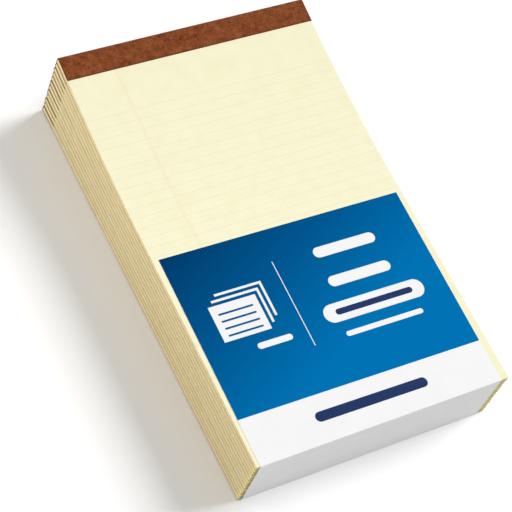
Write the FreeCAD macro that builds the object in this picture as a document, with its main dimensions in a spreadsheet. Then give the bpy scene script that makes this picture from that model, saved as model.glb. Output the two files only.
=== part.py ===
import FreeCAD, Part
import math
import os

import Sketcher

# A banded pack of twelve legal pads.
# Each pad is a block of ruled leaves on a backing board, stapled through near the head and
# bound over the head with a folded headband. The crowns and turned ends of the staples make
# every pad thicker at its head, so the pads fan out there and bend down to lie flat at the
# foot, where one printed paper label holds them together.
# Millimetres. X runs across the pads, +Y towards the bound head, +Z up. The origin is the
# middle of the pack's outline, on the surface that it lies on.

SIZES = (
    # The leaves and the board behind them
    ("sheet_width", 215.9),
    ("sheet_length", 355.6),
    ("leaf_thickness", 0.08),
    ("leaf_count", 50),
    ("board_thickness", 0.6),
    ("pad_count", 12),
    # How a pad's head runs straight under its headband and then bends down
    ("head_run", 21),
    ("bend_length", 154),
    ("stack_clearance", 0.05),
    # The folded headband
    ("tape_thickness", 0.2),
    ("tape_depth", 20),
    ("hump_slope", 0.8),
    # The staples of flat wire
    ("wire_thickness", 0.35),
    ("wire_breadth", 0.6),
    ("crown_length", 12),
    ("turned_length", 4),
    ("staple_line", 9),
    ("staple_spacing", 70),
    ("staple_count", 3),
    # The label, folded round the foot end
    ("label_thickness", 0.25),
    ("label_width", 206),
    ("label_clearance", 7.2),
    ("label_back", 100),
    ("label_offset", 0.1),
    ("label_skew", 0.7),
    ("trim_allowance", 4),
    # Printed ink: the ruling of the top page, and the label's fields as drawn for a front
    # panel of the print length
    ("ink_thickness", 0.02),
    ("first_rule", 56.5),
    ("rule_pitch", 8.73),
    ("rule_width", 0.3),
    ("margin_inset", 40),
    ("margin_gap", 1.6),
    ("print_length", 173.4),
    ("blue_length", 137),
    ("layer_step", 4.5),
    ("layer_line", 2),
    ("icon_layer_count", 2),
    ("icon_rule_count", 4),
    ("icon_rule_pitch", 6),
    ("title_pitch", 26),
)

# Each printed shape on the label: name, left, top, breadth and height.
# Left is measured from the label's middle line, top from its upper edge, downwards.
PRINT_SHAPES = (
    ("icon", -85, 48, 39, 30),
    ("icon_rule", -80, 55, 29, 1.6),
    ("short_bar", -63, 86, 29, 5),
    ("divider", -21.5, 27, 0.7, 74),
    ("title_bar", 13, 26, 54, 9),
    ("pill", -3.5, 73.5, 87, 15.5),
    ("pill_bar", 6.5, 78.7, 67, 5),
    ("note_bar", 6, 98, 67, 4.2),
    ("band_bar", -48, 150, 95, 8),
)

# How far each pad lies from true, across and along, from the lowest pad to the top one.
PAD_SHIFTS = (
    (-0.13, 0.35), (0.08, 0.10), (-0.05, 0.40), (0.12, 0.00), (-0.10, 0.25), (0.04, 0.45),
    (-0.12, 0.15), (0.10, 0.30), (0.00, 0.05), (-0.08, 0.40), (0.06, 0.20), (0.00, 0.00),
)

PRINT_KEYS = ("left", "top", "wide", "tall")
# A fold's outer radius as a share of the strip's thickness, and how near two points agree
FOLD_SHARE = 0.98
NEAR = 1e-6
ACROSS = FreeCAD.Vector(1, 0, 0)
ALONG = FreeCAD.Vector(0, 1, 0)

doc = FreeCAD.newDocument("LegalPads")
sheet = doc.addObject("Spreadsheet::Sheet", "Sizes")
row = 0
for alias, value in SIZES:
    row += 1
    sheet.set("A%d" % row, alias)
    sheet.set("B%d" % row, str(value))
    sheet.setAlias("B%d" % row, alias)
for shape in PRINT_SHAPES:
    for key, value in zip(PRINT_KEYS, shape[1:]):
        row += 1
        alias = "%s_%s" % (shape[0], key)
        sheet.set("A%d" % row, alias)
        sheet.set("B%d" % row, str(value))
        sheet.setAlias("B%d" % row, alias)
doc.recompute()


def size(alias):
    return float(sheet.get(alias))


def group(name, values):
    """A set of worked-out values, each a name and the expression that it follows."""
    holder = doc.addObject("App::VarSet", name)
    for label, expression in values:
        holder.addProperty("App::PropertyFloat", label, "Values")
        holder.setExpression(label, expression)
    doc.recompute()
    return holder


# Values that several pieces share
group("Stack", (
    ("PadThickness", "Sizes.board_thickness + Sizes.leaf_count * Sizes.leaf_thickness"),
    ("Binding", "Sizes.tape_thickness + Sizes.wire_thickness"),
    ("HalfWidth", "Sizes.sheet_width / 2"),
    ("Foot", "-Sizes.sheet_length / 2"),
    ("Tail", "Sizes.sheet_length - Sizes.head_run - Sizes.bend_length"),
    ("Lever", "Sizes.bend_length / 2 + Sizes.head_run - Sizes.staple_line - Sizes.wire_breadth / 2"),
    ("FirstStaple", "-Sizes.staple_spacing * (Sizes.staple_count - 1) / 2"),
))
group("Pack", (
    ("Height", "Sizes.label_thickness + Sizes.pad_count * Stack.PadThickness"),
    ("Face", "2 * Sizes.label_thickness + Sizes.pad_count * Stack.PadThickness"),
    ("LabelFront", "Stack.Tail - Sizes.label_clearance"),
    ("LabelTop", "Stack.Foot + Stack.Tail - Sizes.label_clearance"),
    ("PastBend", "Sizes.label_clearance - Sizes.label_width / 2 * sin(Sizes.label_skew)"),
    ("PrintFit", "(Stack.Tail - Sizes.label_clearance) / Sizes.print_length"),
))


def pad_values(index):
    """A pad's tilt at its head, its bend's radius, its level and its shift."""
    across, along = PAD_SHIFTS[index % len(PAD_SHIFTS)]
    name = "Pad_%02d" % (index + 1)
    rise = "(Stack.Binding - Sizes.label_thickness + %d * (2 * Stack.Binding + Sizes.stack_clearance))" % index
    group(name, (
        ("Tilt", rise + " / Stack.Lever * 180 / pi"),
        ("Radius", "Sizes.bend_length * Stack.Lever / " + rise),
        ("Level", "Sizes.label_thickness + %d * Stack.PadThickness" % index),
        ("Across", str(across)),
        ("Along", str(along)),
    ))
    return name


def new_body(label, pad=None):
    """A body; one that belongs to a pad stands in that pad's frame, at its tilted head."""
    body = doc.addObject("PartDesign::Body", label)
    body.Label = label
    if pad:
        tilt = pad + ".Tilt"
        body.Placement.Rotation = FreeCAD.Rotation(FreeCAD.Vector(1, 0, 0), 1)
        body.setExpression("Placement.Rotation.Angle", tilt)
        body.setExpression("Placement.Base.x", pad + ".Across")
        body.setExpression(
            "Placement.Base.y",
            "Stack.Foot + %s.Along + Stack.Tail + %s.Radius * sin(%s) + Sizes.head_run * cos(%s)"
            % (pad, pad, tilt, tilt))
        body.setExpression(
            "Placement.Base.z",
            "%s.Level + Sizes.head_run * sin(%s) + %s.Radius * (1 - cos(%s))" % (pad, tilt, pad, tilt))
    return body


def origin_item(body, role):
    return [item for item in body.Origin.OriginFeatures if item.Role == role][0]


def new_sketch(body, plane, name, offset=None):
    """A sketch on one of the body's own planes, moved off it along its normal if asked."""
    sketch = body.newObject("Sketcher::SketchObject", name)
    sketch.AttachmentSupport = [(origin_item(body, plane), "")]
    sketch.MapMode = "FlatFace"
    if offset:
        sketch.setExpression("AttachmentOffset.Base.z", offset)
    return sketch


def value_of(expression):
    return float(doc.getObject("Stack").evalExpression(expression))


def dimension(sketch, kind, where, expression):
    """A driving dimension that follows the expression."""
    amount = value_of(expression)
    if kind == "Angle":
        amount = math.radians(amount)
    index = sketch.addConstraint(Sketcher.Constraint(kind, *where, amount))
    unit = " * 1 deg" if kind == "Angle" else ""
    sketch.setExpression("Constraints[%d]" % index, "(" + expression + ")" + unit)


def stepped_outline(sketch, stations):
    """A closed outline of level and upright lines through x0, y0, x1, y1 and so on."""
    numbers = [value_of(station) for station in stations]
    count = len(stations) // 2
    corners = []
    for step in range(count):
        following = numbers[(2 * step + 2) % (2 * count)]
        corners.append(FreeCAD.Vector(numbers[2 * step], numbers[2 * step + 1], 0))
        corners.append(FreeCAD.Vector(following, numbers[2 * step + 1], 0))
    lines = []
    for start, end in zip(corners, corners[1:] + corners[:1]):
        lines.append(sketch.addGeometry(Part.LineSegment(start, end), False))
    for place, line in enumerate(lines):
        following = lines[(place + 1) % len(lines)]
        sketch.addConstraint(Sketcher.Constraint("Coincident", line, 2, following, 1))
        sketch.addConstraint(Sketcher.Constraint("Vertical" if place % 2 else "Horizontal", line))
    for step in range(count):
        corner = lines[2 * step]
        dimension(sketch, "DistanceX", (-1, 1, corner, 1), stations[2 * step])
        dimension(sketch, "DistanceY", (-1, 1, corner, 1), stations[2 * step + 1])


def round_ended_outline(sketch, left, top, wide, tall):
    """A level bar with half-round ends."""
    radius = "(%s) / 2" % tall
    reach = value_of(radius)
    x_low = value_of(left) + reach
    x_high = x_low + value_of(wide) - 2 * reach
    y_mid = value_of(top) - reach
    up = FreeCAD.Vector(0, 0, 1)
    upper = sketch.addGeometry(Part.LineSegment(
        FreeCAD.Vector(x_high, y_mid + reach, 0), FreeCAD.Vector(x_low, y_mid + reach, 0)), False)
    near = sketch.addGeometry(Part.ArcOfCircle(
        Part.Circle(FreeCAD.Vector(x_low, y_mid, 0), up, reach), math.pi / 2, 3 * math.pi / 2), False)
    lower = sketch.addGeometry(Part.LineSegment(
        FreeCAD.Vector(x_low, y_mid - reach, 0), FreeCAD.Vector(x_high, y_mid - reach, 0)), False)
    far = sketch.addGeometry(Part.ArcOfCircle(
        Part.Circle(FreeCAD.Vector(x_high, y_mid, 0), up, reach), -math.pi / 2, math.pi / 2), False)
    for first, second in ((upper, near), (near, lower), (lower, far), (far, upper)):
        sketch.addConstraint(Sketcher.Constraint("Tangent", first, 2, second, 1))
    sketch.addConstraint(Sketcher.Constraint("Horizontal", upper))
    dimension(sketch, "Radius", (near,), radius)
    dimension(sketch, "DistanceX", (-1, 1, near, 3), "%s + %s" % (left, radius))
    dimension(sketch, "DistanceY", (-1, 1, near, 3), "%s - %s" % (top, radius))
    dimension(sketch, "DistanceX", (near, 3, far, 3), "%s - %s" % (wide, tall))


def bent_outline(sketch, pad, start, low, thick, tail):
    """A layer of even thickness: straight from start, round the pad's bend, then straight on."""
    head = value_of("Sizes.head_run")
    centre = value_of(pad + ".Radius")
    turn = math.radians(value_of(pad + ".Tilt"))
    radii = (centre - value_of(low), centre - value_of(low) - value_of(thick))
    middle = FreeCAD.Vector(-head, centre, 0)
    away = FreeCAD.Vector(-math.cos(turn), math.sin(turn), 0) * value_of(tail)

    def bend_end(radius):
        return middle + FreeCAD.Vector(-math.sin(turn), -math.cos(turn), 0) * radius

    def bend_start(radius):
        return middle - FreeCAD.Vector(0, radius, 0)

    def line(first, second):
        return sketch.addGeometry(Part.LineSegment(first, second), False)

    def arc(radius):
        circle = Part.Circle(middle, FreeCAD.Vector(0, 0, 1), radius)
        return sketch.addGeometry(Part.ArcOfCircle(circle, -math.pi / 2 - turn, -math.pi / 2), False)

    first_low = FreeCAD.Vector(-value_of(start), value_of(low), 0)
    first_high = first_low + FreeCAD.Vector(0, value_of(thick), 0)
    lower, upper = radii
    under = line(first_low, bend_start(lower))
    under_arc = arc(lower)
    under_tail = line(bend_end(lower), bend_end(lower) + away)
    foot = line(bend_end(lower) + away, bend_end(upper) + away)
    over_tail = line(bend_end(upper) + away, bend_end(upper))
    over_arc = arc(upper)
    over = line(bend_start(upper), first_high)
    end = line(first_high, first_low)
    for kind, where in (
            ("Tangent", (under, 2, under_arc, 2)), ("Tangent", (under_arc, 1, under_tail, 1)),
            ("Coincident", (under_tail, 2, foot, 1)), ("Coincident", (foot, 2, over_tail, 1)),
            ("Tangent", (over_tail, 2, over_arc, 1)), ("Tangent", (over_arc, 2, over, 1)),
            ("Coincident", (over, 2, end, 1)), ("Coincident", (end, 2, under, 1)),
            ("Horizontal", (under,)), ("Horizontal", (over,)), ("Vertical", (end,)),
            ("Perpendicular", (under_tail, foot)), ("Perpendicular", (foot, over_tail)),
            ("Coincident", (under_arc, 3, over_arc, 3))):
        sketch.addConstraint(Sketcher.Constraint(kind, *where))
    dimension(sketch, "DistanceX", (under, 1, -1, 1), start)
    dimension(sketch, "DistanceX", (under, 2, -1, 1), "Sizes.head_run")
    dimension(sketch, "DistanceY", (-1, 1, under, 1), low)
    dimension(sketch, "DistanceY", (under, 1, over, 2), thick)
    dimension(sketch, "Radius", (under_arc,), "%s.Radius - %s" % (pad, low))
    dimension(sketch, "Angle", (under_tail,), "180 - %s.Tilt" % pad)
    dimension(sketch, "Distance", (under_tail,), tail)


def pad_feature(body, sketch, name, length, both_ways=True):
    feature = body.newObject("PartDesign::Pad", name)
    feature.Profile = sketch
    feature.SideType = "Symmetric" if both_ways else "One side"
    feature.setExpression("Length", length)
    sketch.Visibility = False
    return feature


def pocket_feature(body, sketch, name, length):
    """A cut to both sides of the sketch."""
    feature = body.newObject("PartDesign::Pocket", name)
    feature.Profile = sketch
    feature.SideType = "Symmetric"
    feature.setExpression("Length", length)
    return feature


def fillet_edges(body, base, name, radius, direction, wanted):
    """Round the straight edges of base that run along the direction, where wanted says."""
    doc.recompute()
    names = []
    for number, edge in enumerate(base.Shape.Edges, 1):
        start, end = edge.Vertexes[0].Point, edge.Vertexes[-1].Point
        if (end - start).cross(direction).Length < NEAR and wanted(start):
            names.append("Edge%d" % number)
    feature = body.newObject("PartDesign::Fillet", name)
    feature.Base = (base, names)
    feature.setExpression("Radius", radius)
    return feature


def repeat_across(body, features, name, length, count):
    """Copies of the features along X, evenly spaced over the length."""
    pattern = body.newObject("PartDesign::LinearPattern", name)
    pattern.Originals = features
    pattern.Direction = (origin_item(body, "X_Axis"), [""])
    pattern.setExpression("Length", length)
    pattern.setExpression("Occurrences", count)
    body.Tip = pattern
    return pattern


SPREAD = "Sizes.staple_spacing * (Sizes.staple_count - 1)"
COUNT = "Sizes.staple_count"


def staple_slots(body, name):
    """The slots that the staples' legs make, upright through the pad near its head."""
    sketch = new_sketch(body, "XY_Plane", name + "_slot_sketch")
    for side in ("-", "+"):
        outer = "Stack.FirstStaple %s Sizes.crown_length / 2" % side
        inner = "Stack.FirstStaple %s (Sizes.crown_length / 2 - Sizes.wire_thickness)" % side
        stepped_outline(sketch, (
            outer, "-Sizes.staple_line - Sizes.wire_breadth / 2",
            inner, "-Sizes.staple_line + Sizes.wire_breadth / 2"))
    slots = pocket_feature(body, sketch, name + "_slots", "4 * Stack.PadThickness")
    repeat_across(body, [slots], name + "_slot_row", SPREAD, COUNT)


def layer(label, pad, low, thick):
    """Leaves or board: one bent layer as wide as the sheet, with the staples' slots."""
    body = new_body(label, pad)
    sketch = new_sketch(body, "YZ_Plane", label + "_sketch")
    bent_outline(sketch, pad, "0", low, thick, "Stack.Tail")
    pad_feature(body, sketch, label + "_layer", "Sizes.sheet_width")
    staple_slots(body, label)


def headband(label, pad):
    """The binding strip, folded over the head, with a hump over each crown and turned end."""
    body = new_body(label, pad)
    fold = new_sketch(body, "YZ_Plane", label + "_fold_sketch")
    stepped_outline(fold, (
        "-Sizes.tape_depth", "Stack.PadThickness + Sizes.tape_thickness",
        "Sizes.tape_thickness", "-Sizes.tape_thickness",
        "-Sizes.tape_depth", "0",
        "0", "Stack.PadThickness"))
    strip = pad_feature(body, fold, label + "_strip", "Sizes.sheet_width")
    tape = size("tape_thickness")
    fillet_edges(
        body, strip, label + "_folds", "Sizes.tape_thickness * %g" % FOLD_SHARE, ACROSS,
        lambda point: abs(point.y - tape) < NEAR)
    humps = new_sketch(body, "YZ_Plane", label + "_hump_sketch", "Stack.FirstStaple")
    tunnels = new_sketch(body, "YZ_Plane", label + "_tunnel_sketch", "Stack.FirstStaple")
    line = size("staple_line")
    half_top = size("wire_breadth") / 2
    half_foot = half_top + size("hump_slope")
    for away, sign, base in ((1, "+", "Stack.PadThickness"), (-1, "-", "0")):
        skin = value_of(base) + away * tape
        crest = skin + away * size("wire_thickness")
        corners = [FreeCAD.Vector(-line - half_foot, skin, 0), FreeCAD.Vector(-line + half_foot, skin, 0),
                   FreeCAD.Vector(-line + half_top, crest, 0), FreeCAD.Vector(-line - half_top, crest, 0)]
        sides = []
        for start, end in zip(corners, corners[1:] + corners[:1]):
            sides.append(humps.addGeometry(Part.LineSegment(start, end), False))
        for place, side in enumerate(sides):
            following = sides[(place + 1) % len(sides)]
            humps.addConstraint(Sketcher.Constraint("Coincident", side, 2, following, 1))
        skin_level = "%s %s Sizes.tape_thickness" % (base, sign)
        crest_level = "%s %s Stack.Binding" % (base, sign)
        for side, across, along in (
                (0, "-Sizes.staple_line - Sizes.wire_breadth / 2 - Sizes.hump_slope", skin_level),
                (1, "-Sizes.staple_line + Sizes.wire_breadth / 2 + Sizes.hump_slope", skin_level),
                (2, "-Sizes.staple_line + Sizes.wire_breadth / 2", crest_level),
                (3, "-Sizes.staple_line - Sizes.wire_breadth / 2", crest_level)):
            dimension(humps, "DistanceX", (-1, 1, sides[side], 1), across)
            dimension(humps, "DistanceY", (-1, 1, sides[side], 1), along)
        stepped_outline(tunnels, (
            "-Sizes.staple_line - Sizes.wire_breadth / 2", base,
            "-Sizes.staple_line + Sizes.wire_breadth / 2", "%s %s Sizes.wire_thickness" % (base, sign)))
    raised = pad_feature(body, humps, label + "_humps", "Sizes.crown_length + 2 * Sizes.tape_thickness")
    hollow = pocket_feature(body, tunnels, label + "_tunnels", "Sizes.crown_length")
    repeat_across(body, [raised, hollow], label + "_hump_row", SPREAD, COUNT)


def staples(label, pad):
    """Flat-wire staples: the crown on the front, the ends turned in behind the board."""
    body = new_body(label, pad)
    sketch = new_sketch(body, "XZ_Plane", label + "_sketch", "Sizes.staple_line")
    centre = "Stack.FirstStaple"
    half = "Sizes.crown_length / 2"
    stepped_outline(sketch, (
        "%s - %s" % (centre, half), "Stack.PadThickness + Sizes.wire_thickness",
        "%s + %s" % (centre, half), "-Sizes.wire_thickness",
        "%s + %s - Sizes.turned_length" % (centre, half), "0",
        "%s + %s - Sizes.wire_thickness" % (centre, half), "Stack.PadThickness",
        "%s - %s + Sizes.wire_thickness" % (centre, half), "0",
        "%s - %s + Sizes.turned_length" % (centre, half), "-Sizes.wire_thickness"))
    wire = pad_feature(body, sketch, label + "_wire", "Sizes.wire_breadth")
    ends = [value_of("%s %s %s" % (centre, sign, half)) for sign in ("-", "+")]
    rounded = fillet_edges(
        body, wire, label + "_bends", "Sizes.wire_thickness * %g" % FOLD_SHARE, ALONG,
        lambda point: min(abs(point.x - end) for end in ends) < NEAR)
    repeat_across(body, [wire, rounded], label + "_row", SPREAD, COUNT)


def build_pad(index):
    pad = pad_values(index)
    name = "pad_%02d" % (index + 1)
    layer(name + "_backing_board", pad, "0", "Sizes.board_thickness")
    layer(name + "_sheets", pad, "Sizes.board_thickness", "Stack.PadThickness - Sizes.board_thickness")
    headband(name + "_headband", pad)
    staples(name + "_staples", pad)
    return pad


def build_label():
    """The paper band: a front panel, an end panel down the foot and a flap tucked beneath."""
    body = new_body("label_band")
    sketch = new_sketch(body, "YZ_Plane", "label_section")
    stepped_outline(sketch, (
        "Pack.LabelTop + Sizes.trim_allowance", "Pack.Face",
        "Stack.Foot - Sizes.label_thickness", "0",
        "Stack.Foot + Sizes.label_back", "Sizes.label_thickness",
        "Stack.Foot", "Pack.Height"))
    band = pad_feature(body, sketch, "label_fold", "Sizes.sheet_width + 4 * Sizes.trim_allowance")
    outside = value_of("Stack.Foot - Sizes.label_thickness")
    fillet_edges(
        body, band, "label_folds", "Sizes.label_thickness * %g" % FOLD_SHARE, ACROSS,
        lambda point: abs(point.y - outside) < NEAR)
    trim = doc.addObject("Part::Box", "label_trim")
    reach = "(Pack.LabelFront + 2 * Sizes.trim_allowance)"
    trim.setExpression("Length", "Sizes.label_width")
    trim.setExpression("Width", reach)
    trim.setExpression("Height", "2 * Pack.Face")
    trim.Placement.Rotation = FreeCAD.Rotation(FreeCAD.Vector(0, 0, -1), 1)
    trim.setExpression("Placement.Rotation.Angle", "Sizes.label_skew")
    trim.setExpression(
        "Placement.Base.x",
        "Sizes.label_offset - Sizes.label_width / 2 * cos(Sizes.label_skew) - %s * sin(Sizes.label_skew)"
        % reach)
    trim.setExpression(
        "Placement.Base.y",
        "Pack.LabelTop + Sizes.label_width / 2 * sin(Sizes.label_skew) - %s * cos(Sizes.label_skew)"
        % reach)
    trim.setExpression("Placement.Base.z", "-Pack.Face / 2")
    label = doc.addObject("Part::Common", "label")
    label.Label = "label"
    label.Base = body
    label.Tool = trim
    return label


def print_body(label):
    """A body whose frame is the label's: on its face, at the middle of its upper edge."""
    body = new_body(label)
    body.Placement.Rotation = FreeCAD.Rotation(FreeCAD.Vector(0, 0, -1), 1)
    body.setExpression("Placement.Rotation.Angle", "Sizes.label_skew")
    body.setExpression("Placement.Base.x", "Sizes.label_offset")
    body.setExpression("Placement.Base.y", "Pack.LabelTop")
    body.setExpression("Placement.Base.z", "Pack.Face")
    return body


def print_terms(name, drop="0"):
    """A printed shape's place and size; along the label, all of it keeps its share."""
    left, top, wide, tall = ["Sizes.%s_%s" % (name, key) for key in PRINT_KEYS]
    return left, "-(%s + %s) * Pack.PrintFit" % (top, drop), wide, tall + " * Pack.PrintFit"


def print_box(sketch, name):
    left, top, wide, tall = print_terms(name)
    stepped_outline(sketch, (left, top, "%s + %s" % (left, wide), "%s - %s" % (top, tall)))


def print_bar(sketch, name, drop="0"):
    round_ended_outline(sketch, *print_terms(name, drop))


def build_blue_print():
    """The blue field, open where the label's white shows through."""
    body = print_body("label_blue_print")
    sketch = new_sketch(body, "XY_Plane", "blue_sketch")
    stepped_outline(sketch, (
        "-Sizes.label_width / 2", "0",
        "Sizes.label_width / 2", "-Sizes.blue_length * Pack.PrintFit"))
    print_box(sketch, "icon")
    for rule in range(int(size("icon_rule_count"))):
        print_bar(sketch, "icon_rule", "%d * Sizes.icon_rule_pitch" % rule)
    left, top, wide, tall = print_terms("icon")
    for depth in range(1, int(size("icon_layer_count")) + 1):
        aside = "%d * Sizes.layer_step" % depth
        back = aside + " * Pack.PrintFit"
        right = "%s + %s + %s" % (left, wide, aside)
        stepped_outline(sketch, (
            "%s + %s" % (left, aside), "%s + %s" % (top, back),
            right, "%s - %s + %s" % (top, tall, back),
            right + " - Sizes.layer_line", "%s + %s - Sizes.layer_line * Pack.PrintFit" % (top, back)))
    for name in ("short_bar", "title_bar", "pill", "note_bar"):
        print_bar(sketch, name)
    print_bar(sketch, "title_bar", "Sizes.title_pitch")
    print_box(sketch, "divider")
    pad_feature(body, sketch, "blue_ink", "Sizes.ink_thickness", False)


def build_navy_print():
    """The dark bars in the white pill and on the white band at the foot."""
    body = print_body("label_navy_print")
    sketch = new_sketch(body, "XY_Plane", "navy_sketch")
    print_bar(sketch, "pill_bar")
    print_bar(sketch, "band_bar")
    pad_feature(body, sketch, "navy_ink", "Sizes.ink_thickness", False)


def build_ruling(pad):
    """The top page's rules from the first one down to the label's edge."""
    rules = []
    visible = value_of(
        "Sizes.head_run + Sizes.bend_length + Pack.PastBend - Sizes.first_rule - Sizes.rule_width")
    for index in range(int(visible / size("rule_pitch")) + 1):
        past_flat = ("(Sizes.head_run + Sizes.bend_length - Sizes.first_rule - %d * Sizes.rule_pitch)"
                     % index)
        angle = "(max(0; %s) / %s.Radius * 180 / pi)" % (past_flat, pad)
        radius = "(%s.Radius - Stack.PadThickness)" % pad
        rule = doc.addObject("Part::Box", "rule_%02d" % (index + 1))
        rule.setExpression("Length", "Sizes.sheet_width")
        rule.setExpression("Width", "Sizes.rule_width")
        rule.setExpression("Height", "Sizes.ink_thickness")
        rule.Placement.Rotation = FreeCAD.Rotation(FreeCAD.Vector(1, 0, 0), 1)
        rule.setExpression("Placement.Rotation.Angle", angle)
        rule.setExpression("Placement.Base.x", "%s.Across - Stack.HalfWidth" % pad)
        rule.setExpression(
            "Placement.Base.y",
            "Stack.Foot + %s.Along + Stack.Tail + %s * sin(%s) + min(0; %s)"
            % (pad, radius, angle, past_flat))
        rule.setExpression(
            "Placement.Base.z", "%s.Level + Stack.PadThickness + %s * (1 - cos(%s))" % (pad, radius, angle))
        rules.append(rule)
    ruling = doc.addObject("Part::Compound", "page_ruling")
    ruling.Label = "page_ruling"
    ruling.Links = rules


def build_margin(pad):
    """The top page's double margin line, from under the headband to the label's edge."""
    body = new_body("page_margin_lines", pad)
    inset = "Sizes.margin_inset - Stack.HalfWidth"
    sketch = new_sketch(body, "YZ_Plane", "margin_sketch", inset)
    bent_outline(
        sketch, pad, "Sizes.tape_depth", "Stack.PadThickness", "Sizes.ink_thickness", "Pack.PastBend")
    line = pad_feature(body, sketch, "margin_line", "Sizes.rule_width")
    repeat_across(body, [line], "margin_pair", "Sizes.margin_gap", "2")


pads = [build_pad(index) for index in range(int(size("pad_count")))]
build_label()
build_blue_print()
build_navy_print()
build_ruling(pads[-1])
build_margin(pads[-1])
doc.recompute()

for item in doc.Objects:
    for state in item.State:
        if state in ("Invalid", "Error"):
            raise RuntimeError("%s did not build: %s" % (item.Label, state))

inner_bodies = ("label_band",)
parts = [item for item in doc.Objects
         if item.TypeId == "PartDesign::Body" and item.Label not in inner_bodies]
parts += [doc.getObject("label"), doc.getObject("page_ruling")]
for part in parts:
    if part.Shape.isNull() or not part.Shape.isValid():
        raise RuntimeError("%s has no sound shape" % part.Label)

os.makedirs("parts", exist_ok=True)
for part in parts:
    part.Shape.exportStep("parts/%s.step" % part.Label)
    print(part.Label, len(part.Shape.Solids), round(part.Shape.Volume, 3))
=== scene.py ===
# %% [markdown]
# # A banded pack of twelve legal pads
# The CAD model gives every piece its size and place. This lesson dresses it: the blocks of
# leaves are built again leaf by leaf, every other piece keeps its CAD shape and gets a finish
# of shader nodes, and then come the floor, the light and the camera.

# %% Load the CAD frame
import math

import bpy
import numpy as np
from mathutils import Matrix, Vector


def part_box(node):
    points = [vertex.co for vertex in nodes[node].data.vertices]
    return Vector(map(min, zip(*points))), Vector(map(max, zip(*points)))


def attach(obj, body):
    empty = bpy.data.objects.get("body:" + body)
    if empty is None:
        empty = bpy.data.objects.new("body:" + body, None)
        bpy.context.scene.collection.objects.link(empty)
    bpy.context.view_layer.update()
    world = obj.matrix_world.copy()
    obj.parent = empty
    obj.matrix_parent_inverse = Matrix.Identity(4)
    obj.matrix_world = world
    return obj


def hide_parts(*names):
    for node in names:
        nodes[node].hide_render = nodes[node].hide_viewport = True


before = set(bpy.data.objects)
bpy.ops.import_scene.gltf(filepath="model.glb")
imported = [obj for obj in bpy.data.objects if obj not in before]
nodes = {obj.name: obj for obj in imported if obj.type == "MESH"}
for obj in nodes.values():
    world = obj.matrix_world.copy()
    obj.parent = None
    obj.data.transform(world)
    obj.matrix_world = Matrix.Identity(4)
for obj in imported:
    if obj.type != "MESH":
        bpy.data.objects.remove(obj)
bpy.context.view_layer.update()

# %% [markdown]
# ## How a pad lies
# All twelve pads have the same size. Staples and folded tape make each one thicker at its head,
# so the heads fan out, and each pad bends down over the ones below to lie flat at its foot.
# The numbers below are the CAD model's, in metres. They are written again here because a
# bent block of leaves follows from them by a rule, and a rule gives cleaner edges than points
# read back from a finished mesh.

# %% The pads' sizes
MM = 0.001
SHEET_WIDTH = 215.9 * MM
SHEET_LENGTH = 355.6 * MM
LEAF_PITCH = 0.08 * MM
LEAF_COUNT = 50
BOARD_THICKNESS = 0.6 * MM
PAD_COUNT = 12
HEAD_RUN = 21 * MM
BEND_LENGTH = 154 * MM
STACK_CLEARANCE = 0.05 * MM
BINDING = 0.55 * MM
STAPLE_REACH = 9.3 * MM
LABEL_THICKNESS = 0.25 * MM
PAD_THICKNESS = BOARD_THICKNESS + LEAF_COUNT * LEAF_PITCH
FOOT = -SHEET_LENGTH / 2
TAIL = SHEET_LENGTH - HEAD_RUN - BEND_LENGTH
LEVER = BEND_LENGTH / 2 + HEAD_RUN - STAPLE_REACH
SHIFTS = (
    (-0.13, 0.35), (0.08, 0.10), (-0.05, 0.40), (0.12, 0.00), (-0.10, 0.25), (0.04, 0.45),
    (-0.12, 0.15), (0.10, 0.30), (0.00, 0.05), (-0.08, 0.40), (0.06, 0.20), (0.00, 0.00),
)
print("one pad is", round(PAD_THICKNESS / MM, 2), "mm thick")


# %% Tilt, radius and place of each pad
def pad_lie(index):
    """A pad's tilt at its head, its bend's radius, its level at the foot and its shift."""
    rise = BINDING - LABEL_THICKNESS + index * (2 * BINDING + STACK_CLEARANCE)
    tilt = rise / LEVER
    across, along = SHIFTS[index]
    return {
        "tilt": tilt,
        "radius": BEND_LENGTH / tilt,
        "level": LABEL_THICKNESS + index * PAD_THICKNESS,
        "across": across * MM,
        "along": along * MM,
    }


PADS = [pad_lie(index) for index in range(PAD_COUNT)]
print("tilts:", [round(math.degrees(pad["tilt"]), 2) for pad in PADS])


# %% Bend flat points the way a pad bends
def bend_down(points, pad):
    """Flat points, head end at y = 0 and the board's underside at z = 0, laid as the pad lies."""
    run, height = -points[:, 1], points[:, 2]
    tilt, radius = pad["tilt"], pad["radius"]
    angle = np.clip((run - HEAD_RUN) / radius, 0, tilt)
    straight = run - HEAD_RUN - angle * radius
    y = -HEAD_RUN - (radius - height) * np.sin(angle) - straight * np.cos(angle)
    z = radius - (radius - height) * np.cos(angle) + straight * np.sin(angle)
    base_y = FOOT + pad["along"] + TAIL + radius * math.sin(tilt) + HEAD_RUN * math.cos(tilt)
    base_z = pad["level"] + HEAD_RUN * math.sin(tilt) + radius * (1 - math.cos(tilt))
    return np.column_stack((
        points[:, 0] + pad["across"],
        base_y + y * math.cos(tilt) - z * math.sin(tilt),
        base_z + y * math.sin(tilt) + z * math.cos(tilt)))


head_top = bend_down(np.array([[0, 0, PAD_THICKNESS]]), PADS[-1])[0]
print("top pad's head edge:", [round(float(value), 4) for value in head_top])

# %% [markdown]
# ## Helpers for node trees
# Shader trees and Geometry Nodes trees are built the same way: make a node, set its options,
# then give each input either a value or a link. One helper does all three.


# %% Add a node, mix a colour
def add(tree, kind, inputs=None, **settings):
    """A new node; each input is given a value or, if the value is a socket, a link from it."""
    node = tree.nodes.new(kind)
    for name, value in settings.items():
        setattr(node, name, value)
    for key, value in (inputs or {}).items():
        if isinstance(value, bpy.types.NodeSocket):
            tree.links.new(value, node.inputs[key])
        else:
            node.inputs[key].default_value = value
    return node


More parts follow.
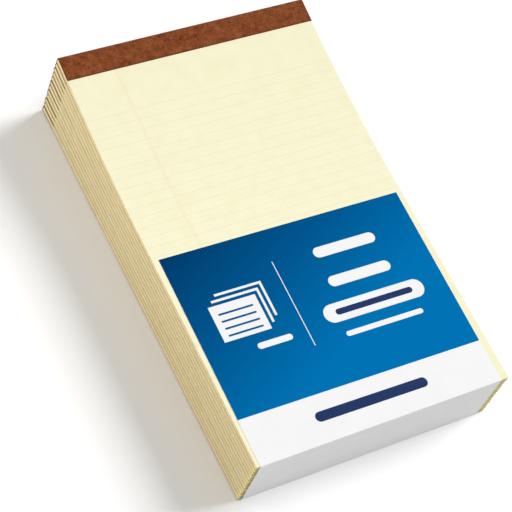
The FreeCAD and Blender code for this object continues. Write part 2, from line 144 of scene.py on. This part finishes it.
def paint(red, green, blue):
    """A colour as a screen shows it, 0 to 255, as the linear numbers that a shader takes."""
    shares = [level / 255 for level in (red, green, blue)]
    linear = [
        share / 12.92 if share <= 0.04045 else ((share + 0.055) / 1.055) ** 2.4
        for share in shares]
    return (*linear, 1)


print("a mid grey of 188 is", round(paint(188, 188, 188)[0], 3), "in linear light")


# %% Start a finish
def new_finish(name, roughness, specular):
    """A material with one Principled shader; its even values sit on the shader's own sockets."""
    material = bpy.data.materials.new(name)
    material.use_nodes = True
    tree = material.node_tree
    shader = tree.nodes["Principled BSDF"]
    shader.inputs["Roughness"].default_value = roughness
    shader.inputs["Specular IOR Level"].default_value = specular
    return material, tree, shader


def object_place(tree, scale=(1, 1, 1)):
    """Object coordinates, in metres, stretched by the scale."""
    place = add(tree, "ShaderNodeTexCoord").outputs["Object"]
    return add(tree, "ShaderNodeMapping", {"Vector": place, "Scale": scale}).outputs["Vector"]


def noise(tree, vector, scale, detail=3.0, roughness=0.5):
    """Soft noise, from 0 to 1 and mostly near a half."""
    return add(tree, "ShaderNodeTexNoise", {
        "Vector": vector, "Scale": scale, "Detail": detail, "Roughness": roughness}).outputs["Fac"]


def ramp(tree, factor, *stops):
    """A colour ramp; each stop is a place from 0 to 1 and a colour."""
    node = add(tree, "ShaderNodeValToRGB", {"Fac": factor})
    elements = node.color_ramp.elements
    while len(elements) < len(stops):
        elements.new(0.5)
    for element, (place, colour) in zip(elements, stops):
        element.position = place
        element.color = colour
    return node.outputs["Color"]


def mix(tree, factor, first, second, blend="MIX"):
    """Two colours mixed by the factor."""
    node = add(tree, "ShaderNodeMix", data_type="RGBA", blend_type=blend)
    for index, value in ((0, factor), (6, first), (7, second)):
        if isinstance(value, bpy.types.NodeSocket):
            tree.links.new(value, node.inputs[index])
        else:
            node.inputs[index].default_value = value
    return node.outputs[2]


def fade(tree, value, low, high):
    """0 where the value is under low, 1 where it is over high, and smooth between."""
    return add(tree, "ShaderNodeMapRange", {
        "Value": value, "From Min": low, "From Max": high},
        interpolation_type="SMOOTHSTEP").outputs["Result"]


def bump(tree, shader, height, strength, distance):
    """Raises the finish a little where height is high."""
    node = add(tree, "ShaderNodeBump", {
        "Height": height, "Strength": strength, "Distance": distance})
    tree.links.new(node.outputs["Normal"], shader.inputs["Normal"])


def colour(tree, shader, socket):
    """Gives the finish its colour."""
    tree.links.new(socket, shader.inputs["Base Color"])


# %% [markdown]
# ## Yellow paper, seen flat
# A canary writing sheet is uncoated: matt, very pale, with a cloudy look where the fibres lie
# thicker. Two sizes of noise on Object coordinates give the clouds and the tooth of the paper.


# %% The page
def page_paper():
    material, tree, shader = new_finish("canary page", 0.85, 0.1)
    place = object_place(tree)
    clouds = noise(tree, place, 90, 4)
    colour(tree, shader, ramp(
        tree, clouds, (0.3, paint(248, 243, 206)), (0.7, paint(251, 247, 213))))
    bump(tree, shader, noise(tree, place, 2500, 2), 0.15, 0.02 * MM)
    return material


PAGE = page_paper()
print("made", PAGE.name)

# %% [markdown]
# ## Yellow paper, seen on edge
# On its sides a pad shows hundreds of cut edges. Light is caught between them, so the sides are
# deeper and warmer than the page, with streaks that run the length of the pad. The streaks
# have to follow the bend, so this finish reads the piece's own UV map: along the pad in u,
# up through the leaves in v. Plain Object coordinates would cut straight through the bend.
# The leaf ends at the foot are painted brighter, as painted light on an end face that the lamps leave
# in shade; there the place along the pack is enough.


# %% The cut edges
def leaf_edges():
    material, tree, shader = new_finish("canary leaf edges", 0.9, 0.1)
    run = add(tree, "ShaderNodeUVMap", uv_map="edge_map").outputs["UV"]
    wide = add(tree, "ShaderNodeMapping", {"Vector": run, "Scale": (40, 1100, 1)}).outputs["Vector"]
    fine = add(tree, "ShaderNodeMapping", {"Vector": run, "Scale": (120, 3600, 1)}).outputs["Vector"]
    bands = noise(tree, wide, 1, 4, 0.6)
    lines = noise(tree, fine, 1, 2, 0.5)
    warm = ramp(tree, bands, (0.25, paint(238, 214, 166)), (0.5, paint(248, 229, 183)),
                (0.75, paint(254, 241, 204)))
    thin = ramp(tree, lines, (0.3, paint(222, 212, 192)), (0.6, paint(255, 255, 255)))
    streaked = mix(tree, 0.6, warm, thin, "MULTIPLY")
    spot = add(tree, "ShaderNodeTexCoord").outputs["Object"]
    parts = add(tree, "ShaderNodeSeparateXYZ", {0: spot})
    # painted light: the shaded leaf ends at the foot, and the last few millimetres of the sides, are
    # coloured brighter
    foot_end_painted_light = fade(tree, parts.outputs["Y"], FOOT + 5 * MM, FOOT + 1.5 * MM)
    colour(tree, shader, mix(tree, foot_end_painted_light, streaked, paint(253, 240, 170)))
    bump(tree, shader, lines, 0.4, 0.05 * MM)
    return material


EDGES = leaf_edges()
print("made", EDGES.name)

# %% [markdown]
# ## A block of fifty leaves
# A pad could be one solid block with a striped finish, but its silhouette would be dead
# straight, and every gap between the leaves would be paint. Here Geometry Nodes stack fifty
# thin sheets: a cube with many stations along its length is put on the points of a line, each
# one jogged a little, and slow noise makes the cut edges waver. The tree makes the block flat.
# A short rule in Python then bends it, because the bend is a known formula.


# %% The tree that stacks the leaves
def leaf_stack_tree():
    tree = bpy.data.node_groups.new("leaf stack", "GeometryNodeTree")
    face = tree.interface
    for name, kind in (
            ("Leaf width", "Float"), ("Leaf length", "Float"), ("Leaf thickness", "Float"),
            ("Leaf pitch", "Float"), ("Leaf count", "Int"), ("Stations", "Int"),
            ("First leaf", "Vector"), ("Jog", "Vector"), ("Waver", "Vector"), ("Seed", "Int"),
            ("Page finish", "Material"), ("Edge finish", "Material")):
        face.new_socket(name=name, in_out="INPUT", socket_type="NodeSocket" + kind)
    face.new_socket(name="Leaves", in_out="OUTPUT", socket_type="NodeSocketGeometry")
    given = add(tree, "NodeGroupInput").outputs

    leaf_size = add(tree, "ShaderNodeCombineXYZ", {
        "X": given["Leaf width"], "Y": given["Leaf length"], "Z": given["Leaf thickness"]})
    leaf = add(tree, "GeometryNodeMeshCube", {
        "Size": leaf_size.outputs["Vector"], "Vertices X": 2, "Vertices Y": given["Stations"],
        "Vertices Z": 2})
    step = add(tree, "ShaderNodeCombineXYZ", {"Z": given["Leaf pitch"]})
    line = add(tree, "GeometryNodeMeshLine", {
        "Count": given["Leaf count"], "Start Location": given["First leaf"],
        "Offset": step.outputs["Vector"]})

    least = add(tree, "ShaderNodeVectorMath", {0: given["Jog"], "Scale": -1.0}, operation="SCALE")
    chance = add(tree, "FunctionNodeRandomValue", data_type="FLOAT_VECTOR")
    tree.links.new(least.outputs["Vector"], chance.inputs[0])
    tree.links.new(given["Jog"], chance.inputs[1])
    tree.links.new(given["Seed"], chance.inputs["Seed"])
    jogged = add(tree, "GeometryNodeSetPosition", {
        "Geometry": line.outputs["Mesh"], "Offset": chance.outputs[0]})
    laid = add(tree, "GeometryNodeInstanceOnPoints", {
        "Points": jogged.outputs["Geometry"], "Instance": leaf.outputs["Mesh"]})
    real = add(tree, "GeometryNodeRealizeInstances", {"Geometry": laid.outputs["Instances"]})

    where = add(tree, "ShaderNodeVectorMath", {
        0: add(tree, "GeometryNodeInputPosition").outputs[0], 1: (3.0, 14.0, 2600.0)},
        operation="MULTIPLY")
    drift = add(tree, "ShaderNodeTexNoise", {
        "Vector": where.outputs["Vector"], "W": given["Seed"], "Scale": 1.0, "Detail": 1.0},
        noise_dimensions="4D")
    centred = add(tree, "ShaderNodeVectorMath", {
        0: drift.outputs["Color"], 1: (0.5, 0.5, 0.5)}, operation="SUBTRACT")
    sway = add(tree, "ShaderNodeVectorMath", {
        0: centred.outputs["Vector"], 1: given["Waver"]}, operation="MULTIPLY")
    wavered = add(tree, "GeometryNodeSetPosition", {
        "Geometry": real.outputs["Geometry"], "Offset": sway.outputs["Vector"]})

    facing = add(tree, "GeometryNodeInputNormal").outputs[0]
    normal = add(tree, "ShaderNodeSeparateXYZ", {0: facing})
    upright = add(tree, "ShaderNodeMath", {0: normal.outputs["Z"]}, operation="ABSOLUTE")
    side = add(tree, "FunctionNodeCompare", {
        0: upright.outputs[0], 1: 0.5}, operation="LESS_THAN")
    faced = add(tree, "GeometryNodeSetMaterial", {
        "Geometry": wavered.outputs["Geometry"], "Material": given["Page finish"]})
    edged = add(tree, "GeometryNodeSetMaterial", {
        "Geometry": faced.outputs["Geometry"], "Selection": side.outputs[0],
        "Material": given["Edge finish"]})
    add(tree, "NodeGroupOutput", {"Leaves": edged.outputs["Geometry"]})
    return tree


LEAF_STACK = leaf_stack_tree()
print("leaf stack nodes:", len(LEAF_STACK.nodes))

# %% The numbers the tree is given
LEAF_THICKNESS = 0.076 * MM
SIDE_JOG = 0.07 * MM
FOOT_JOG = 0.12 * MM
SIDE_WAVER = 0.3 * MM
FOOT_WAVER = 0.5 * MM
STATIONS = 49
ROOM_ACROSS = 2 * SIDE_JOG + SIDE_WAVER
ROOM_ALONG = 2 * FOOT_JOG + FOOT_WAVER
print("a leaf is", round((SHEET_WIDTH - ROOM_ACROSS) / MM, 2), "mm wide")


# %% Make one block: stack, bend, map
def leaf_block(index):
    pad = PADS[index]
    name = "pad_%02d_leaves" % (index + 1)
    block = bpy.data.objects.new(name, bpy.data.meshes.new(name))
    bpy.context.scene.collection.objects.link(block)
    stacker = block.modifiers.new("leaf stack", "NODES")
    stacker.node_group = LEAF_STACK
    values = {
        "Leaf width": SHEET_WIDTH - ROOM_ACROSS,
        "Leaf length": SHEET_LENGTH - ROOM_ALONG,
        "Leaf thickness": LEAF_THICKNESS,
        "Leaf pitch": LEAF_PITCH,
        "Leaf count": LEAF_COUNT,
        "Stations": STATIONS,
        "First leaf": (0, -SHEET_LENGTH / 2, BOARD_THICKNESS + LEAF_THICKNESS / 2),
        "Jog": (SIDE_JOG, FOOT_JOG, 0),
        "Waver": (SIDE_WAVER, FOOT_WAVER, 0),
        "Seed": 40 + index,
        "Page finish": PAGE,
        "Edge finish": EDGES,
    }
    for item in LEAF_STACK.interface.items_tree:
        if item.in_out == "INPUT":
            stacker[item.identifier] = values[item.name]
    ready = bpy.context.evaluated_depsgraph_get()
    mesh = bpy.data.meshes.new_from_object(block.evaluated_get(ready), depsgraph=ready)
    block.modifiers.clear()
    block.data = mesh
    mesh.name = name

    flat = np.empty(len(mesh.vertices) * 3)
    mesh.vertices.foreach_get("co", flat)
    flat = flat.reshape(-1, 3)
    corners = np.empty(len(mesh.loops), dtype=int)
    mesh.loops.foreach_get("vertex_index", corners)
    run = flat[:, 0] - flat[:, 1] + index * SHEET_LENGTH
    edge_map = np.column_stack((run, flat[:, 2] + index * PAD_THICKNESS))[corners]
    layer = mesh.uv_layers.new(name="edge_map")
    layer.data.foreach_set("uv", edge_map.astype(np.float32).ravel())
    mesh.vertices.foreach_set("co", bend_down(flat, pad).ravel())
    mesh.update()
    return block


blocks = [leaf_block(index) for index in range(PAD_COUNT)]
for index, block in enumerate(blocks):
    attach(block, "root")
    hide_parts("pad_%02d_sheets" % (index + 1))
print("blocks:", len(blocks), "polygons each:", len(blocks[0].data.polygons),
      "finishes:", [slot.name for slot in blocks[0].material_slots])

# %% [markdown]
# ## The backing boards
# Each pad stands on a sheet of chipboard: recycled pulp, pale brown, with darker flecks. Only
# its thin edge shows, as a fine line under every block, and the lowest board shows beneath.


# %% Chipboard
def chipboard():
    material, tree, shader = new_finish("chipboard", 0.9, 0.15)
    place = object_place(tree, (1, 1, 3))
    pulp = noise(tree, place, 260, 5, 0.6)
    flecks = noise(tree, place, 1400, 2, 0.7)
    base = ramp(tree, pulp, (0.3, paint(192, 170, 128)), (0.7, paint(214, 192, 150)))
    spots = ramp(tree, flecks, (0.3, paint(170, 160, 150)), (0.42, paint(255, 255, 255)))
    colour(tree, shader, mix(tree, 0.8, base, spots, "MULTIPLY"))
    bump(tree, shader, flecks, 0.3, 0.05 * MM)
    return material


CHIPBOARD = chipboard()
print("made", CHIPBOARD.name)

# %% [markdown]
# ## The headbands
# The binding strip is paper made to look like leather: red-brown, embossed with a pebble grain,
# darker in the creases of the grain and along its cut sides and lower edge, with painted shade
# where it folds over the head. Voronoi cells make the pebbles, noise makes the colour uneven, and
# the distance from the strip's sides, lower edge and fold, read from Object coordinates, darkens its
# borders.

# %% Where the top strip's borders lie
strip_low, strip_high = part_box("pad_12_headband")
STRIP_SIDE = SHEET_WIDTH / 2
STRIP_LOWER = float(strip_low[1])
STRIP_HEAD = float(strip_high[1])
print("top strip runs from y", round(STRIP_LOWER, 4), "to", round(STRIP_HEAD, 4))


# %% Grained binding strip
def grained_strip():
    material, tree, shader = new_finish("grained binding strip", 0.6, 0.05)
    place = object_place(tree)
    mottle = noise(tree, place, 210, 6, 0.65)
    base = ramp(tree, mottle, (0.28, paint(116, 54, 26)), (0.5, paint(149, 82, 42)),
                (0.72, paint(172, 102, 60)))
    cells = add(tree, "ShaderNodeTexVoronoi", {"Vector": place, "Scale": 850.0},
                feature="DISTANCE_TO_EDGE")
    pebble = fade(tree, cells.outputs["Distance"], 0.0, 0.22)
    creased = mix(tree, pebble, paint(150, 128, 120), paint(255, 255, 255))
    grained = mix(tree, 0.75, base, creased, "MULTIPLY")

    spot = add(tree, "ShaderNodeTexCoord").outputs["Object"]
    parts = add(tree, "ShaderNodeSeparateXYZ", {0: spot})
    reach = add(tree, "ShaderNodeMath", {0: parts.outputs["X"]}, operation="ABSOLUTE").outputs[0]
    # darker along the strip's cut sides and lower edge, and painted shade where it folds over the
    # head
    side = fade(tree, reach, STRIP_SIDE - 1.2 * MM, STRIP_SIDE - 0.2 * MM)
    lower = fade(tree, parts.outputs["Y"], STRIP_LOWER + 1.1 * MM, STRIP_LOWER + 0.3 * MM)
    head = fade(tree, parts.outputs["Y"], STRIP_HEAD - 0.9 * MM, STRIP_HEAD - 0.2 * MM)
    dark_edges_and_fold_shade = add(tree, "ShaderNodeMath", {0: side, 1: lower}, operation="MAXIMUM").outputs[0]
    dark_edges_and_fold_shade = add(tree, "ShaderNodeMath", {0: dark_edges_and_fold_shade, 1: head}, operation="MAXIMUM").outputs[0]
    colour(tree, shader, mix(tree, dark_edges_and_fold_shade, grained, paint(92, 44, 24)))
    bump(tree, shader, pebble, 0.5, 0.08 * MM)
    return material


STRIP = grained_strip()
print("made", STRIP.name)

# %% [markdown]
# ## Staple wire
# The staples are flat steel wire under the strips. Little of them shows, but the piece can be
# looked at by itself, so the wire gets a drawn metal's fine lengthwise streaks in colour and relief.


# %% Steel wire
def steel_wire():
    material, tree, shader = new_finish("staple wire", 0.3, 0.5)
    shader.inputs["Metallic"].default_value = 1.0
    drawn = noise(tree, object_place(tree, (1, 8, 8)), 700, 3)
    colour(tree, shader, ramp(tree, drawn, (0.3, paint(178, 178, 180)), (0.7, paint(206, 206, 208))))
    bump(tree, shader, drawn, 0.2, 0.02 * MM)
    return material


WIRE = steel_wire()
print("made", WIRE.name)

# %% [markdown]
# ## The label
# The band is smooth white paper with blue and navy printing. The blue field is a gradient in
# the print itself: deep at its upper left corner and brighter towards the lower right. The
# gradient is a slope down and across from that corner, so it needs no picture.


# %% Label paper
def label_paper():
    material, tree, shader = new_finish("label paper", 0.5, 0.2)
    place = object_place(tree)
    clouds = noise(tree, place, 60, 4)
    colour(tree, shader, ramp(
        tree, clouds, (0.3, paint(242, 242, 242)), (0.7, paint(245, 245, 245))))
    bump(tree, shader, noise(tree, place, 1800, 2), 0.1, 0.02 * MM)
    return material


LABEL = label_paper()
print("made", LABEL.name)


# %% Blue printing
BLUE_SLOPE = Vector((3.3, -6.0, 0.0))


def blue_printing():
    material, tree, shader = new_finish("blue printing", 0.6, 0.0)
    low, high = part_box("label_blue_print")
    corner = Vector((low[0], high[1], high[2]))
    place = add(tree, "ShaderNodeTexCoord").outputs["Object"]
    inward = add(tree, "ShaderNodeVectorMath", {0: place, 1: corner}, operation="SUBTRACT")
    spread = add(tree, "ShaderNodeVectorMath", {
        0: inward.outputs["Vector"], 1: BLUE_SLOPE}, operation="DOT_PRODUCT")
    tone = ramp(tree, spread.outputs["Value"], (0.0, paint(1, 58, 106)), (0.5, paint(1, 88, 146)),
                (1.0, paint(1, 115, 181)))
    dots = noise(tree, place, 3000, 1)
    cover = ramp(tree, dots, (0.3, paint(246, 246, 246)), (0.7, paint(255, 255, 255)))
    colour(tree, shader, mix(tree, 0.5, tone, cover, "MULTIPLY"))
    return material


BLUE = blue_printing()
print("made", BLUE.name)


# %% Plain printing inks
def plain_ink(name, thin, full):
    """Ink that lies a little thinner in some spots than in others."""
    material, tree, shader = new_finish(name, 0.6, 0.1)
    cover = noise(tree, object_place(tree), 900, 3)
    colour(tree, shader, ramp(tree, cover, (0.3, thin), (0.7, full)))
    return material


NAVY = plain_ink("navy printing", paint(26, 52, 102), paint(14, 38, 86))
RULE = plain_ink("ruling ink", paint(238, 238, 207), paint(222, 228, 200))
MARGIN = plain_ink("margin ink", paint(248, 234, 200), paint(246, 222, 188))
print("made", NAVY.name, RULE.name, MARGIN.name)

# %% [markdown]
# ## Give the CAD nodes their finishes
# A CAD node whose shape is right stays as it is. Only the material in its slots is changed.


# %% Dress the nodes
def dress(node, material):
    for slot in nodes[node].material_slots:
        slot.material = material


for index in range(PAD_COUNT):
    pad_name = "pad_%02d" % (index + 1)
    dress(pad_name + "_backing_board", CHIPBOARD)
    dress(pad_name + "_headband", STRIP)
    dress(pad_name + "_staples", WIRE)
for node, material in (
        ("label", LABEL), ("label_blue_print", BLUE), ("label_navy_print", NAVY),
        ("page_ruling", RULE), ("page_margin_lines", MARGIN)):
    dress(node, material)
print("dressed", 3 * PAD_COUNT + 5, "nodes")

# %% [markdown]
# ## Floor and backdrop
# The pack lies on a white surface that runs out of sight. The floor takes the pack's shadow,
# and its own colour is full white for the camera, so the lamps need no extra strength. Light
# that bounces off it meets a slightly greyer floor, as a real table would be.


# %% The floor
CAMERA_GLOW = 0.06


def white_floor():
    material = bpy.data.materials.new("white floor")
    material.use_nodes = True
    tree = material.node_tree
    shader = tree.nodes["Principled BSDF"]
    shader.inputs["Roughness"].default_value = 1.0
    shader.inputs["Specular IOR Level"].default_value = 0.0
    path = add(tree, "ShaderNodeLightPath").outputs
    seen = add(tree, "ShaderNodeMath", {
        0: path["Is Camera Ray"], 1: path["Is Glossy Ray"]}, operation="MAXIMUM")
    colour(tree, shader, mix(tree, seen.outputs[0], paint(232, 232, 232), (1, 1, 1, 1)))
    glow = add(tree, "ShaderNodeMath", {0: seen.outputs[0], 1: CAMERA_GLOW}, operation="MULTIPLY")
    shader.inputs["Emission Color"].default_value = (1, 1, 1, 1)
    tree.links.new(glow.outputs[0], shader.inputs["Emission Strength"])
    return material


FLOOR_HALF = 4.0
FLOOR_LEVEL = -0.05 * MM
floor_mesh = bpy.data.meshes.new("floor")
floor_mesh.from_pydata(
    [(x * FLOOR_HALF, y * FLOOR_HALF, FLOOR_LEVEL) for x, y in ((-1, -1), (1, -1), (1, 1), (-1, 1))],
    [], [(0, 1, 2, 3)])
floor = bpy.data.objects.new("floor", floor_mesh)
bpy.context.scene.collection.objects.link(floor)
floor.data.materials.append(white_floor())
print("floor:", 2 * FLOOR_HALF, "m square")

# %% [markdown]
# ## Light
# The shadow lies to the left and is soft, so the main light is broad and comes from the right.
# The left sides are still bright, so a small round light stands low on the left, and the
# white room fills the rest. Together they light the floor at a level close to one, at which a
# colour renders about as it is written.


# %% Room, main light and side light
def broad_light(name, strength, spread, azimuth, elevation):
    """A sun lamp; azimuth is where it stands, from +X towards +Y, in degrees."""
    lamp = bpy.data.lights.new(name, "SUN")
    lamp.energy = strength * math.pi
    lamp.angle = math.radians(spread)
    holder = bpy.data.objects.new(name, lamp)
    turn, lift = math.radians(azimuth), math.radians(elevation)
    stand = Vector((math.cos(turn) * math.cos(lift), math.sin(turn) * math.cos(lift), math.sin(lift)))
    holder.rotation_euler = stand.to_track_quat("Z", "Y").to_euler()
    bpy.context.scene.collection.objects.link(holder)
    return strength * math.sin(lift)


ROOM_LEVEL = 0.45
world = bpy.data.worlds.new("white room")
bpy.context.scene.world = world
world.use_nodes = True
room = world.node_tree
ray = add(room, "ShaderNodeLightPath").outputs
shown = add(room, "ShaderNodeMath", {
    0: ray["Is Camera Ray"], 1: ray["Is Glossy Ray"]}, operation="MAXIMUM")
level = add(room, "ShaderNodeMapRange", {
    "Value": shown.outputs[0], "To Min": ROOM_LEVEL, "To Max": 1.0})
backdrop = room.nodes["Background"]
backdrop.inputs["Color"].default_value = (1, 1, 1, 1)
room.links.new(level.outputs["Result"], backdrop.inputs["Strength"])
main = broad_light("main light", 0.82, 30, 5, 40)

# %% Side panel of light
panel = bpy.data.lights.new("side light", "AREA")
panel.shape = "DISK"
panel.size = 0.3
panel.energy = 8.8
panel_holder = bpy.data.objects.new("side light", panel)
panel_holder.location = (-1.3, 0.75, 0.18)
aim = Vector((-0.1, 0.0, 0.03)) - panel_holder.location
panel_holder.rotation_euler = aim.to_track_quat("-Z", "Y").to_euler()
bpy.context.scene.collection.objects.link(panel_holder)
print("level on the floor:", round(ROOM_LEVEL + main, 3), "and a little from the side panel")

# %% [markdown]
# ## Camera
# The camera stands high over the foot's left corner, turned a little, with a long lens.

# %% The camera
camera = bpy.data.objects.new("camera", bpy.data.cameras.new("camera"))
bpy.context.scene.collection.objects.link(camera)
right = Vector((0.8656, -0.4354, 0.2472)).normalized()
back = Vector((-0.4254, -0.3792, 0.8217)).normalized()
upward = back.cross(right).normalized()
right = upward.cross(back)
camera.matrix_world = Matrix.Translation((-0.6323, -0.5591, 1.2176)) @ Matrix(
    (right, upward, back)).transposed().to_4x4()
camera.data.sensor_width = 36
camera.data.lens = 134.26
camera.data.clip_start = 0.05
bpy.context.scene.camera = camera
bpy.context.scene.view_settings.view_transform = "Standard"
print("camera at", [round(value, 3) for value in camera.location], "lens", camera.data.lens)
